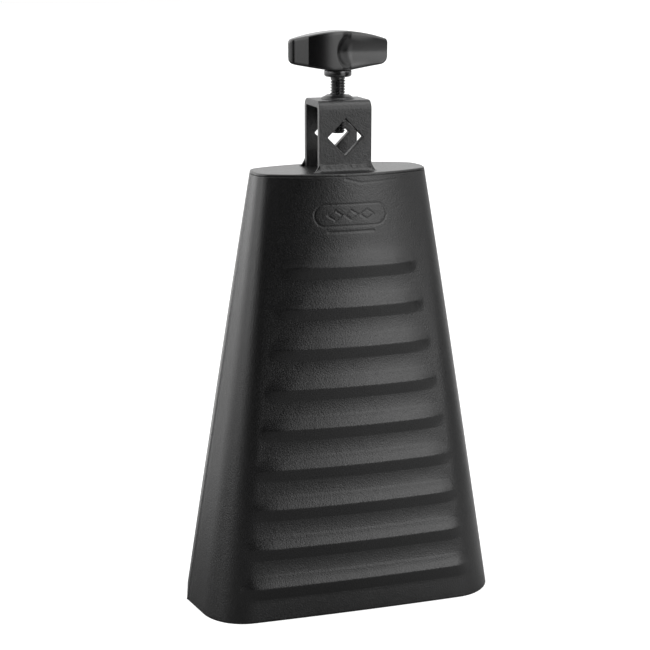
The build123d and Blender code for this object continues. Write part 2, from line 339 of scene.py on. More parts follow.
def stamp_relief(distance, height):
    """A plain stamped mark: an oblong ring round three lozenges, and a line under it."""
    z = height - MARK_HEIGHT
    ring = capsule_gap(distance, z, RING_HALF_LENGTH, RING_HALF_HEIGHT)
    relief = groove(ring, half_width=0.60, depth=0.19)
    for centre in (-LOZENGE_SPACING, 0.0, LOZENGE_SPACING):
        across = np.abs(distance - centre) / LOZENGE_STRETCH
        lozenge = (across + abs(z)) / LOZENGE_SLANT - LOZENGE_SIZE
        relief = np.minimum(relief, groove(lozenge, half_width=0.55, depth=0.18))
    past_end = np.maximum(np.abs(distance) - LINE_HALF_LENGTH, 0)
    line = np.hypot(past_end, z + LINE_DROP) - LINE_HALF_WIDTH
    return np.minimum(relief, groove(np.maximum(line, 0), half_width=0.5, depth=0.20))


# Distance along the outline and height of the crease's corners.
CREASE = ((-2.5, 226.0), (5.4, 223.8), (25.8, 224.5))
CREASE_FADE = 0.8


def crease_relief(distance, height):
    """The shallow crease that the crown weld left below the front rim."""
    relief = np.zeros_like(distance)
    for (x0, z0), (x1, z1) in zip(CREASE, CREASE[1:]):
        run, rise = x1 - x0, z1 - z0
        share = np.clip(((distance - x0) * run + (height - z0) * rise) / (run**2 + rise**2), 0, 1)
        gap = np.hypot(distance - x0 - share * run, height - z0 - share * rise)
        fade = 1 - CREASE_FADE * np.clip((x0 + share * run) / CREASE[-1][0], 0, 1)
        relief = np.minimum(relief, groove(gap, half_width=0.75, depth=0.16) * fade)
    return relief


FINE_STEP = 0.44  # between rows of points through the mark and the crease


def shell_rows():
    """Heights of the rows of points up a shell, closer together where it has detail."""
    rows = [0.35, 1.2, 3.0, 5.5, 8.0, 10.2]
    below = (RIB_FOOT, -6.5, -6.1, -4.6, -2.9, -1.5, -0.8, -0.4)
    above = (0.0, 0.4, 0.9, 1.7, 2.8, 4.2, 5.2, 5.7, 6.2, 6.8, 10.0)
    for number in range(RIB_COUNT):
        rows += [FIRST_RIB_HEIGHT + RIB_PITCH * number + step for step in below + above]
    rows += list(np.arange(195.6, 215.0, FINE_STEP))
    rows += [216.2, 217.8, 219.5, 221.0]
    rows += list(np.arange(222.0, 226.9, FINE_STEP))
    rows += [SHELL_HEIGHT]
    return rows


MARK_REACH = 24.0  # the columns are closest together as far out as this
END_REACH = 9.0  # and close again over the last stretch of the ribs


def column_distances(outline):
    """Distances along the outline of the columns of points, seam to seam."""
    end = outline.distance_of(outline.half_width - RIB_END_INSET)
    last = outline.length - SEAM_HALF_WIDTH / cos(outline.draft)
    middle = min(MARK_REACH, end - END_REACH - 2.0)
    half = np.concatenate(
        (
            np.linspace(0, middle, 54)[:-1],
            np.linspace(middle, end - END_REACH, 9)[:-1],
            np.linspace(end - END_REACH, end + 0.5, 15)[:-1],
            np.linspace(end + 0.5, last, 18),
        )
    )
    return np.concatenate((-half[:0:-1], half))


# A cut rim's rounding: share of the way across the wall, and of the way out to the rim's height.
RIM_ROUNDING = ((0.08, 0.7), (0.25, 1.0), (0.75, 1.0), (0.92, 0.7))


def shell_mesh(name, side, stamped, material):
    """A pressed half of the bell with its wall, its cut rims and its ribs. Side is -1 for the front."""
    outer, inner = [], []
    for height in shell_rows():
        outline = Outline(height)
        distance = column_distances(outline)
        x, y, normal_x, normal_y = outline.at(distance)
        pressed = rib_relief(outline, distance, height)
        marks = crease_relief(distance, height) + stamp_relief(distance, height)
        relief = pressed + marks * stamped
        z = np.full_like(x, height)
        outer.append(np.stack((x + normal_x * relief, -side * (y + normal_y * relief), z), 1))
        depth = pressed - WALL
        inner.append(np.stack((x + normal_x * depth, -side * (y + normal_y * depth), z), 1))
    columns = len(outer[0])

    def rim(outer_row, inner_row, height):
        rows = []
        for share, drop in RIM_ROUNDING:
            row = outer_row * (1 - share) + inner_row * share
            row[:, 2] += (height - outer_row[0, 2]) * drop
            rows.append(row)
        return rows

    rows = outer + rim(outer[-1], inner[-1], SHELL_HEIGHT) + inner[::-1] + rim(inner[0], outer[0], 0.0)
    points = np.concatenate(rows)
    faces = grid_faces(len(rows), columns, wrap_rows=True)
    count = len(outer)
    ring = len(rows)
    rim_rows = len(RIM_ROUNDING)
    for column in (0, columns - 1):
        low = [count + rim_rows + count - 1 - number for number in range(count)]
        for number in range(count - 1):
            faces.append(
                (
                    number * columns + column,
                    (number + 1) * columns + column,
                    low[number + 1] * columns + column,
                    low[number] * columns + column,
                )
            )
        top = [count - 1 + step for step in range(rim_rows + 2)]
        faces.append(tuple(row * columns + column for row in top))
        bottom = [(2 * count + rim_rows - 1 + step) % ring for step in range(rim_rows + 2)]
        faces.append(tuple(row * columns + column for row in bottom))
    return new_mesh_object(name, points, faces, material)


settle(shell_mesh("front_shell_pressing", -1, 1.0, powder_coat), "bell", "front_shell")
settle(shell_mesh("back_shell_pressing", 1, 0.0, powder_coat), "bell", "back_shell")


def wobble(value, seed, *periods):
    """A smooth unevenness between about -1 and 1, the same on every run."""
    rng = np.random.default_rng(seed)
    total = np.zeros_like(np.asarray(value, float))
    for period in periods:
        total = total + np.sin(value * 2 * pi / period + rng.uniform(0, 2 * pi))
    return total / len(periods)


# --- Side seams: ground beads with a toe line each side -----------------------------------------------
SEAM_ROW_STEP = 1.1
GROUND_FLUSH_FROM = 180.0  # the bead is ground flatter above this height
GROUND_FLUSH_SHARE = 0.35


def seam_mesh(name, side):
    """A seam's bead from the mouth to the crown. Side is -1 for the left."""
    across = np.array((-1.75, -1.55, -1.2, -0.6, 0.0, 0.6, 1.2, 1.55, 1.75))
    proud = np.array((0.0, -0.14, 0.02, 0.10, 0.12, 0.10, 0.02, -0.14, 0.0))
    inner_y = np.array((SEAM_HALF_WIDTH, 0.0, -SEAM_HALF_WIDTH))
    columns = len(across) + len(inner_y)
    rows = []
    for height in np.concatenate(((0.2,), np.arange(1.0, SHELL_HEIGHT, SEAM_ROW_STEP), (SHELL_HEIGHT,))):
        outline = Outline(height)
        below = ramp(GROUND_FLUSH_FROM - height, 0, 25)
        fade = GROUND_FLUSH_SHARE + (1 - GROUND_FLUSH_SHARE) * below
        uneven = 0.05 * wobble(height, 3 + side, 7.0, 11.0, 4.3) * (np.abs(across) < 1.5)
        y = across + 0.08 * wobble(height, 5 + side, 9.0, 5.0) * (np.abs(across) > 1.4)
        x = outline.half_width - np.abs(y) * tan(outline.draft) + proud * fade - np.abs(uneven)
        inside = outline.half_width - SEAM_HALF_WIDTH * tan(outline.draft) - WALL
        x = np.append(x, np.full(len(inner_y), inside))
        rows.append(np.stack((side * x, np.append(y, inner_y), np.full(columns, height)), 1))
    faces = grid_faces(len(rows), columns, wrap_columns=True)
    faces += [tuple(range(columns)), tuple((len(rows) - 1) * columns + n for n in range(columns))]
    return new_mesh_object(name, np.concatenate(rows), faces, coated_weld)


settle(seam_mesh("left_seam_bead", -1), "bell", "left_seam_weld")
settle(seam_mesh("right_seam_bead", 1), "bell", "right_seam_weld")


# --- Crown: the plate's top, and the ground weld round it ---------------------------------------------
CROWN_OUTLINE_HEIGHT = BELL_HEIGHT - 0.8


def crown_loop(inset):
    """The whole outline of the crown, front and back, drawn in by an inset."""
    outline = Outline(CROWN_OUTLINE_HEIGHT)
    distance = np.linspace(-outline.length, outline.length, 241)
    x, y, normal_x, normal_y = outline.at(distance)
    front = np.stack((x - normal_x * inset, y - normal_y * inset), 1)
    back = front[1:-1][::-1] * np.array((1, -1))
    return np.concatenate((front, back))


def crown_weld_mesh():
    """The ground weld round the crown. Its section is heights and insets from the outline."""
    section = (
        (226.95, 0.30),
        (227.08, 0.10),
        (227.35, -0.02),
        (227.9, 0.0),
        (228.25, 0.08),
        (228.5, 0.32),
        (228.6, 0.75),
        (228.58, 1.25),
        (227.2, 1.45),
    )
    rows = []
    for number, (height, inset) in enumerate(section):
        loop = crown_loop(inset)
        turn = np.arctan2(loop[:, 1], loop[:, 0])
        uneven = 0.05 * np.sin(turn * 37 + 1.3) + 0.04 * np.sin(turn * 61 + number)
        in_sight = 2 <= number <= 6
        if in_sight:
            outward = loop / np.hypot(loop[:, 0], loop[:, 1])[:, None]
            loop = loop - outward * np.abs(uneven)[:, None]
        rows.append(np.column_stack((loop, np.full(len(loop), height))))
    faces = grid_faces(len(rows), len(rows[0]), wrap_rows=True, wrap_columns=True)
    return new_mesh_object("crown_weld_bead", np.concatenate(rows), faces, coated_weld)


settle(crown_weld_mesh(), "bell", "crown_weld")


def crown_plate_mesh():
    """The plate, a touch hollow in the middle from the heat of its weld."""
    rim = crown_loop(1.1)
    columns = len(rim)
    rows = []
    for share in (1.0, 0.985, 0.95, 0.85, 0.7, 0.5, 0.3, 0.12):
        dip = 0.0 if share > 0.97 else 0.12 * (1 - share)
        rows.append(np.column_stack((rim * share, np.full(columns, BELL_HEIGHT - 0.02 - dip))))
    middle_above = len(rows) - 1
    middle_below = middle_above + 1
    for row in (rows[-1], rows[0]):
        rows.append(np.column_stack((row[:, :2], np.full(columns, SHELL_HEIGHT))))
    faces = grid_faces(len(rows), columns, wrap_rows=True, wrap_columns=True)
    faces = [f for f in faces if (f[0] // columns, f[3] // columns) != (middle_above, middle_below)]
    for row in (middle_above, middle_below):
        faces.append(tuple(row * columns + n for n in range(columns)))
    return new_mesh_object("crown_plate_top", np.concatenate(rows), faces, powder_coat)


settle(crown_plate_mesh(), "bell", "crown_plate")


# --- Eye bracket --------------------------------------------------------------------------------------
def prism(name, outline, axis, low, high):
    """A solid from a closed outline, drawn along an axis."""
    ends = []
    for level in (low, high):
        for u, v in outline:
            point = {"x": (level, u, v), "y": (u, level, v), "z": (u, v, level)}[axis]
            ends.append(point)
    count = len(outline)
    faces = [tuple(range(count)), tuple(range(count, 2 * count))]
    faces += [(n, (n + 1) % count, count + (n + 1) % count, count + n) for n in range(count)]
    return new_mesh_object(name, ends, faces, powder_coat, smooth=False)


def arc(centre, radius, start, end, count):
    """Points on an arc between two angles in degrees."""
    turns = np.radians(np.linspace(start, end, count))
    return [(centre[0] + radius * cos(t), centre[1] + radius * sin(t)) for t in turns]


def apply_modifiers(piece):
    """Writes a piece's modifiers into its mesh."""
    evaluated = piece.evaluated_get(bpy.context.evaluated_depsgraph_get())
    mesh = bpy.data.meshes.new_from_object(evaluated)
    piece.modifiers.clear()
    piece.data = mesh


def cut(piece, tool):
    """Takes the tool's shape out of a piece, and removes the tool."""
    modifier = piece.modifiers.new("cut", "BOOLEAN")
    modifier.operation = "DIFFERENCE"
    modifier.solver = "EXACT"
    modifier.object = tool
    bpy.context.view_layer.update()
    apply_modifiers(piece)
    bpy.data.objects.remove(tool)


def soften(piece, width):
    """Rounds a piece's sharp edges."""
    modifier = piece.modifiers.new("soften", "BEVEL")
    modifier.width = width * MM
    modifier.segments = 3
    modifier.limit_method = "ANGLE"
    modifier.angle_limit = radians(30)
    modifier.use_clamp_overlap = True
    bpy.context.view_layer.update()
    apply_modifiers(piece)
    for polygon in piece.data.polygons:
        polygon.use_smooth = True
    modifier = piece.modifiers.new("shade", "WEIGHTED_NORMAL")
    modifier.keep_sharp = True
    bpy.context.view_layer.update()
    apply_modifiers(piece)


STRAP_HALF_WIDTH = 13.8
STRAP_THICKNESS = 3.5
LEG_FACE = 13.65
BEND = 4.6
FOOT_HEIGHT = BELL_HEIGHT - 0.3  # the legs reach a little into the crown plate
STRAP_EDGE = 0.45
EYE_SIDE = 13.1
EYE_HALF_DIAGONAL = EYE_SIDE / sqrt(2)
EYE_CENTRE = 245.8
BUSH_RADIUS = 6.2


def bracket_mesh():
    """A strap bent to an upside-down U, with the eye through its legs and the bush's hole in its top."""
    bend_z = STRAP_TOP - BEND
    outer = [(LEG_FACE, FOOT_HEIGHT)]
    outer += arc((LEG_FACE - BEND, bend_z), BEND, 0, 90, 12)
    outer += arc((BEND - LEG_FACE, bend_z), BEND, 90, 180, 12)
    outer += [(-LEG_FACE, FOOT_HEIGHT)]
    inner_bend = BEND - STRAP_THICKNESS
    inner = [(STRAP_THICKNESS - LEG_FACE, FOOT_HEIGHT)]
    inner += arc((BEND - LEG_FACE, bend_z), inner_bend, 180, 90, 8)
    inner += arc((LEG_FACE - BEND, bend_z), inner_bend, 90, 0, 8)
    inner += [(LEG_FACE - STRAP_THICKNESS, FOOT_HEIGHT)]
    strap = prism("eye_bracket_strap", outer + inner, "x", -STRAP_HALF_WIDTH, STRAP_HALF_WIDTH)
    eye = [(EYE_HALF_DIAGONAL, EYE_CENTRE), (0, EYE_CENTRE + EYE_HALF_DIAGONAL)]
    eye += [(-EYE_HALF_DIAGONAL, EYE_CENTRE), (0, EYE_CENTRE - EYE_HALF_DIAGONAL)]
    cut(strap, prism("eye_tool", eye, "y", -20, 20))
    cut(strap, prism("bush_tool", arc((0, 0), BUSH_RADIUS, 0, 352.5, 48), "z", 255, 270))
    soften(strap, STRAP_EDGE)
    strap.data.materials.clear()
    strap.data.materials.append(coated_strap)
    return strap


settle(bracket_mesh(), "bell", "eye_bracket")


WELD_HALF_LENGTH = 16.5
WELD_TOE_START = 0.3  # inside the strap's edge
WELD_REACH = 3.7  # out over the crown
WELD_RISE = 3.6  # up the leg
WELD_RISE_LIMIT = 4.5
WELD_LIP = 0.14
WELD_SINK = 0.6  # into the leg


def foot_weld_mesh(name, side, seed):
    """A hollow fillet along a leg's foot, with an uneven lip, running out past the strap's edges."""
    lengths = np.linspace(-WELD_HALF_LENGTH, WELD_HALF_LENGTH, 190)
    turns = np.linspace(0, pi / 2, 13)
    overrun = WELD_HALF_LENGTH - STRAP_HALF_WIDTH + WELD_TOE_START
    rows = []
    for along in lengths:
        past = np.clip((abs(along) - STRAP_HALF_WIDTH + WELD_TOE_START) / overrun, 0, 1)
        flare = max(0.04, (1 - past) ** 1.7)
        size = (WELD_REACH + 0.20 * wobble(along, seed + 1, 11.0, 6.3)) * (1 - 0.75 * past**2)
        rise = WELD_RISE + 0.22 * wobble(along, seed + 2, 9.7, 5.3)
        rise = rise + 0.7 * (abs(along) / STRAP_HALF_WIDTH) ** 6
        rise = min(rise * flare, WELD_RISE_LIMIT)
        lip = WELD_LIP + 0.05 * wobble(along, seed + 3, 7.3, 4.1)
        row = []
        for turn in turns:
            out = lip + (size - lip) * (1 - sin(turn))
            up = rise * (1 - cos(turn)) ** 1.1
            grain = 0.04 * wobble(along + 3 * turn, seed + 4, 4.1, 2.3) * sin(2 * turn)
            row.append((along, side * (LEG_FACE + out + grain), BELL_HEIGHT - 0.05 + up + grain))
        row.append((along, side * (LEG_FACE - WELD_SINK), BELL_HEIGHT - 0.05 + rise))
        row.append((along, side * (LEG_FACE - WELD_SINK), FOOT_HEIGHT))
        row.append((along, side * (LEG_FACE + size), FOOT_HEIGHT))
        rows.append(row)
    columns = len(rows[0])
    faces = grid_faces(len(rows), columns, wrap_columns=True)
    faces += [tuple(range(columns)), tuple((len(rows) - 1) * columns + n for n in range(columns))]
    return new_mesh_object(name, np.concatenate(rows), faces, coated_weld)


settle(foot_weld_mesh("front_foot_bead", -1, 21), "bell", "front_foot_weld")
settle(foot_weld_mesh("back_foot_bead", 1, 31), "bell", "back_foot_weld")


# --- Turned parts -------------------------------------------------------------------------------------
def turned(name, profile, columns, material, change=None, closed=True):
    """A solid of revolution about the bolt's axis. Change may move each point of the grid."""
    turns = np.linspace(0, 2 * pi, columns, endpoint=False)
    profile = np.asarray(profile, float)
    radius = np.repeat(profile[:, :1], columns, 1)
    height = np.repeat(profile[:, 1:], columns, 1)
    turn = np.repeat(turns[None, :], len(profile), 0)
    if change:
        radius, height = change(radius, height, turn)
    points = np.stack((radius * np.cos(turn), radius * np.sin(turn), height), 2).reshape(-1, 3)
    faces = grid_faces(len(profile), columns, wrap_rows=closed, wrap_columns=True)
    if not closed:
        faces.append(tuple(range(columns)))
        faces.append(tuple((len(profile) - 1) * columns + n for n in range(columns)))
    return new_mesh_object(name, points, faces, material)


def bush_change(radius, height, turn):
    """Makes the top of the cone a little uneven."""
    top = (height > STRAP_TOP + 0.3) & (radius > 4.3)
    uneven = 0.10 * np.sin(turn * 3 + radius * 1.9) + 0.08 * np.sin(turn * 7 - radius * 2.6 + 1.0)
    return radius, height - np.where(top, 0.12 + uneven, 0)


BORE = THREAD_RADIUS + 0.05
bush_profile = [
    (BORE, 257.2),
    (BORE + 0.3, 257.0),
    (BUSH_RADIUS - 0.2, 257.0),
    (BUSH_RADIUS, 257.2),
    (BUSH_RADIUS, 263.6),
    (8.2, 263.9),
    (8.45, 264.05),
    (8.5, 264.3),
    (8.3, 264.6),
    (7.7, 265.05),
    (7.0, 265.45),
    (6.3, 265.8),
    (5.8, 266.02),
    (5.3, 266.13),
    (4.8, 266.1),
    (4.35, 265.95),
    (BORE, 265.6),
]
bush = turned("thread_bush_cone", bush_profile, 96, bush_steel, bush_change)
settle(bush, "bell", "thread_bush")


# Radii that stand for a stretch of thread and for the flattened end, whose real radii vary.
THREADED, FLATTENED = 0.0, -1.0
THREAD_DEPTH = 0.87
THREAD_BOTTOM, THREAD_TOP = 246.8, 273.8
THREAD_STEPS = 16  # rows of points to a turn
TIP_BOTTOM = 246.6
TIP_RADIUS, TIP_WIDENING = 3.05, 0.5
NECK_RADIUS = 3.7
RUNOUT_TOP, RUNOUT_RADIUS, RUNOUT_WIDENING = 273.7, 3.5, 1.2
END_HALF_WIDTH, END_HALF_THICKNESS = 5.5, 2.4


def stud_profile():
    """Radii and heights up the stud: chamfered tip, thread, neck, shank and moulded-in end."""
    rows = [(0.6, TIP_BOTTOM), (2.4, TIP_BOTTOM), (2.9, TIP_BOTTOM + 0.05)]
    rows += [(THREADED, z) for z in np.arange(THREAD_BOTTOM, THREAD_TOP, THREAD_PITCH / THREAD_STEPS)]
    rows += [(NECK_RADIUS, 273.9), (NECK_RADIUS, 274.2), (NECK_RADIUS, 274.7)]
    rows += [(3.9, 275.0), (THREAD_RADIUS, 275.3), (THREAD_RADIUS, 282.9), (3.9, 283.0)]
    rows += [(FLATTENED, 283.05), (FLATTENED, 288.0), (2.3, 288.3), (0.6, 288.3)]
    return rows


def stud_change(radius, height, turn):
    """Cuts the thread, which runs out towards the tip and the neck, and flattens the moulded-in end."""
    phase = (height / THREAD_PITCH - turn / (2 * pi)) % 1.0
    flank = np.abs(phase - 0.5) * 2
    depth = THREAD_DEPTH * np.clip(flank * 1.12 - 0.06, 0, 1)
    tip = TIP_RADIUS + np.clip(height - TIP_BOTTOM - 0.05, 0, 3) * TIP_WIDENING
    neck = RUNOUT_RADIUS + np.clip(RUNOUT_TOP - height, 0, 3) * RUNOUT_WIDENING
    thread = np.minimum(np.minimum(THREAD_RADIUS - depth, tip), neck)
    across, through = np.abs(np.cos(turn)), np.abs(np.sin(turn))
    flattened = 1 / np.maximum(across / END_HALF_WIDTH, through / END_HALF_THICKNESS)
    radius = np.where(radius == THREADED, thread, radius)
    return np.where(radius == FLATTENED, flattened, radius), height


stud = turned("clamp_stud_thread", stud_profile(), 64, stud_steel, stud_change, closed=False)
settle(stud, "wing_bolt", "clamp_stud")

COLLAR_RADIUS = 7.0
SLOT_TURN = radians(-67.7)
SLOT_HALF_WIDTH = 0.65
SLOT_TOP = 277.3
SLOT_FLOOR_RADIUS = 5.0


def collar_change(radius, height, turn):
    """Cuts the slot into the collar's rim."""
    gap = np.abs((turn - SLOT_TURN + pi) % (2 * pi) - pi)
    in_slot = (gap * COLLAR_RADIUS < SLOT_HALF_WIDTH) & (height < SLOT_TOP) & (radius > SLOT_FLOOR_RADIUS)
    return np.where(in_slot, SLOT_FLOOR_RADIUS, radius), height


collar_profile = [
    (BORE, 275.3),
    (BORE + 0.25, 275.0),
    (5.4, 275.0),
    (5.9, 275.02),
    (6.3, 275.16),
    (6.65, 275.42),
    (6.88, 275.75),
    (6.98, 276.15),
    (COLLAR_RADIUS, 276.6),
    (COLLAR_RADIUS, 277.2),
    (COLLAR_RADIUS, 277.4),
    (COLLAR_RADIUS, 278.0),
    (6.85, 278.2),
    (6.6, 278.25),
    (BORE + 0.2, 278.25),
    (BORE, 278.1),
]
collar = turned("stud_collar_cup", collar_profile, 216, collar_steel, collar_change)
settle(collar, "wing_bolt", "stud_collar")


# --- Wing ---------------------------------------------------------------------------------------------
def circle_through(a, b, c):
    """Centre and radius of the circle through three points."""
    (ax, ay), (bx, by), (cx, cy) = a, b, c
    d = 2 * (ax * (by - cy) + bx * (cy - ay) + cx * (ay - by))
    ux = ((ax**2 + ay**2) * (by - cy) + (bx**2 + by**2) * (cy - ay) + (cx**2 + cy**2) * (ay - by)) / d
    uy = ((ax**2 + ay**2) * (cx - bx) + (bx**2 + by**2) * (ax - cx) + (cx**2 + cy**2) * (bx - ax)) / d
    return ux, uy, sqrt((ax - ux) ** 2 + (ay - uy) ** 2)


# Plan of the wing's front side, from tip to tip: a round tip, a slant out to the hub, the hub's long and
# short arcs, and the hollow lobe. The back side is the same, turned by half a turn.
WING_HALF = 25.3
TIP_END = (-22.9, -0.6)
HUB_START = (-17.2, -6.6)
HUB_CORNER = (-1.0, -8.4)
LOBE_START = (4.6, -5.6)
LOBE_END = (23.6, -5.6)
TIP = circle_through((-23.6, 5.6), (-WING_HALF, 2.4), TIP_END)
HUB = circle_through(HUB_START, (-8.5, -8.6), HUB_CORNER)
HUB_TURN = circle_through(HUB_CORNER, (2.2, -7.5), LOBE_START)
LOBE = circle_through(LOBE_START, (14.0, -4.8), LOBE_END)

# A finger dish lies along the lobe: a cylinder along X with a round end.
DISH_RADIUS = 11.3
DISH_HEIGHT = 287.65
DISH_Y = -14.8
DISH_END_X = 6.7

EDGE_BLEND = 0.22
HUB_BLEND = 0.35
PLAIN_HEIGHT = 280.0  # here the dish doesn't reach the lobe, so the wing has its plain width

# Side view of the wing.
WING_END_TOP = 293.2
WING_TOP = 297.86
WING_BOTTOM = 278.32
WING_SEAT_HALF = 5.0
UNDERSIDE_RISE, UNDERSIDE_RUN = 281.7 - 278.3, 20.6
END_ROUNDING = 1.6
DISHED_END_ROUNDING = 4.2
SIDE_ROUNDING = 1.25
ARC_POINTS = 8


def circle_y(circle, x, sign):
    """Y of a circle's upper side, or of its lower side where the sign is -1."""
    return circle[1] + sign * np.sqrt(np.maximum(circle[2] ** 2 - (x - circle[0]) ** 2, 0))


def soft_max(a, b, width):
    """The larger of two values, rounded where they meet."""
    return width * np.logaddexp(a / width, b / width)


def front_edge(x, z):
    """Y of the wing's front side at an X and a height."""
    slant = TIP_END[1] + (x - TIP_END[0]) * (HUB_START[1] - TIP_END[1]) / (HUB_START[0] - TIP_END[0])
    side = -soft_max(-circle_y(HUB_TURN, x, -1), -circle_y(LOBE, x, 1), HUB_BLEND)
    side = np.where(x < HUB_CORNER[0], circle_y(HUB, x, -1), side)
    side = np.where(x < HUB_START[0], slant, side)
    side = np.where(x < TIP_END[0], circle_y(TIP, x, -1), side)
    far_tip = -circle_y(TIP, -x, 1)
    side = np.where(x > LOBE_END[0], np.maximum(far_tip, side), side)
    beyond = max(0.0, DISH_END_X - x)
    reach = DISH_RADIUS**2 - (z - DISH_HEIGHT) ** 2 - beyond**2
    dish = np.where(reach > 0, DISH_Y + np.sqrt(np.maximum(reach, 0)), DISH_Y)
    return soft_max(side, dish, EDGE_BLEND)


def back_edge(x, z):
    """Y of the wing's back side, which is the front turned by half a turn."""
    return -front_edge(-x, z)


def corner_loss(room, radius):
    """How far a rounded corner has come in, a given distance from the end."""
    if room >= radius:
        return 0.0
    return radius - sqrt(radius**2 - (radius - room) ** 2)


def wing_stations():
    """Places along X of the wing's sections, closest at its ends, its hub and its crease."""
    near_tip = (0.03, 0.09, 0.2, 0.35, 0.55, 0.8, 1.1, 1.5, 1.9, 2.3, 2.45, 2.8, 3.2, 3.7, 4.2, 4.7)
    ends = WING_HALF - np.array(near_tip)
    hub = np.arange(0, 8.0, 0.2)
    crease = (17.0, 17.2, 17.4)
    middle = np.concatenate((hub, np.arange(8.0, 16.6, 0.4), crease, np.arange(17.8, 20.4, 0.4)))
    half = np.sort(np.unique(np.round(np.concatenate((middle, ends)), 4)))
    return np.concatenate((-half[:0:-1], half))


def rounded_oblong(half_width, half_height, radius):
    """Points round a section with round corners, more of them on its two upright sides."""
    loop = []
    for start, sign_u, sign_v in ((180, -1, -1), (270, 1, -1), (0, 1, 1), (90, -1, 1)):
        centre = (sign_u * (half_width - radius), sign_v * (half_height - radius))
        loop += arc(centre, radius, start, start + 90, ARC_POINTS)
    path = []
    for number, (u, v) in enumerate(loop):
        path.append((u, v))
        next_u, next_v = loop[(number + 1) % len(loop)]
        if number % ARC_POINTS == ARC_POINTS - 1:
            upright = number in (2 * ARC_POINTS - 1, 4 * ARC_POINTS - 1)
            count = 22 if upright else 8
            for step in range(1, count):
                share = step / count
                path.append((u + (next_u - u) * share, v + (next_v - v) * share))
    return path


def wing_mesh():
    """The wing as a row of sections along X, each one fitted between its front and back sides."""
    top_circle = circle_through((-25.6, WING_END_TOP), (0, WING_TOP), (25.6, WING_END_TOP))
    rows = []
    for x in wing_stations():
        room = WING_HALF - abs(x)
        top = circle_y(top_circle, x, 1) - corner_loss(room, END_ROUNDING)
        bottom = WING_BOTTOM + max(0.0, abs(x) - WING_SEAT_HALF) * UNDERSIDE_RISE / UNDERSIDE_RUN
        plain_bottom = bottom + corner_loss(room, END_ROUNDING)
        dished_bottom = bottom + corner_loss(room, DISHED_END_ROUNDING)
        middle_z = (top + plain_bottom) / 2
        width = back_edge(x, PLAIN_HEIGHT) - front_edge(x, PLAIN_HEIGHT)
        radius = min(SIDE_ROUNDING, 0.45 * width)
        half_w, half_h = width / 2, (top - plain_bottom) / 2
        row = []
        for u, v in rounded_oblong(half_w, half_h, radius):
            share = (u + half_w) / width
            if v < 0:
                dished_share = 1 - share if x > 0 else share
                low = plain_bottom + (dished_bottom - plain_bottom) * dished_share
                v = v * (middle_z - low) / half_h
            z = middle_z + v
            row.append((x, float(front_edge(x, z)) * (1 - share) + float(back_edge(x, z)) * share, z))
        rows.append(row)
    columns = len(rows[0])
    faces = grid_faces(len(rows), columns, wrap_columns=True)
    faces += [tuple(range(columns)), tuple((len(rows) - 1) * columns + n for n in range(columns))]
    points = np.concatenate([np.array(row, float) for row in rows])
    return new_mesh_object("wing_grip_moulding", points, faces, wing_plastic)


settle(wing_mesh(), "wing_bolt", "wing_grip")


# --- Stage, light and camera --------------------------------------------------------------------------
# The camera sees an even, pale floor and background. Reflections see the world's panels and the floor's
# painted shade and painted light, which stand still round the object as cards and soft lamps would.
SEEN_FLOOR = (0.30, 0.30, 0.30, 1)
FLOOR_GLOW = 0.80
SEEN_BACKGROUND = 1.0
FLOOR_SIZE = 24.0  # metres, as are the places on the floor below


def ramp_node(nodes, links, direction, axis, low, high, strength=1.0):
    """A soft step in how far a direction points along an axis."""
    dot = nodes.new("ShaderNodeVectorMath")
    dot.operation = "DOT_PRODUCT"
    dot.inputs[1].default_value = axis
    links.new(direction, dot.inputs[0])
    span = nodes.new("ShaderNodeMapRange")
    span.interpolation_type = "SMOOTHSTEP"
    span.inputs["From Min"].default_value = low
    span.inputs["From Max"].default_value = high
    span.inputs["To Min"].default_value = 0.0
    span.inputs["To Max"].default_value = strength
    links.new(dot.outputs["Value"], span.inputs["Value"])
    return span.outputs["Result"]


def combine(nodes, links, operation, first, second):
    """Two values joined by a sum, a product or a maximum."""
    node = nodes.new("ShaderNodeMath")
    node.operation = operation
    links.new(first, node.inputs[0])
    links.new(second, node.inputs[1])
    return node.outputs[0]


def painted_floor_light_and_shade(nodes, links):
    """Painted shade and painted light on the floor by place, as reflections see it."""
    place = nodes.new("ShaderNodeTexCoord").outputs["Object"]
    # Painted shade from in front towards the object, with a painted bright strip a little right of the
    # middle.
    near = ramp_node(nodes, links, place, (0, 1, 0), -0.75, -0.30, 0.17)
    from_left = ramp_node(nodes, links, place, (1, 0, 0), -0.07, 0.10, 1.2)
    from_right = ramp_node(nodes, links, place, (-1, 0, 0), -0.60, -0.20)
    middle = combine(nodes, links, "MULTIPLY", from_left, from_right)
    under = combine(nodes, links, "MULTIPLY", near, middle)
    # Painted light behind the object, and at both sides.
    behind = ramp_node(nodes, links, place, (0, 1, 0), 0.0, 0.35, 0.35)
    ahead = combine(nodes, links, "ADD", combine(nodes, links, "ADD", near, under), behind)
    beside = ramp_node(nodes, links, place, (0.98, 0.19, 0), 0.0, 0.16, 0.90)
    in_front = ramp_node(nodes, links, place, (-0.707, -0.707, 0), -0.10, 0.15)
    right = combine(nodes, links, "MULTIPLY", beside, in_front)
    far_left = ramp_node(nodes, links, place, (-0.90, 0.45, 0), 1.2, 2.5, 0.90)
    sides = combine(nodes, links, "MAXIMUM", far_left, right)
    return combine(nodes, links, "MAXIMUM", ahead, sides)


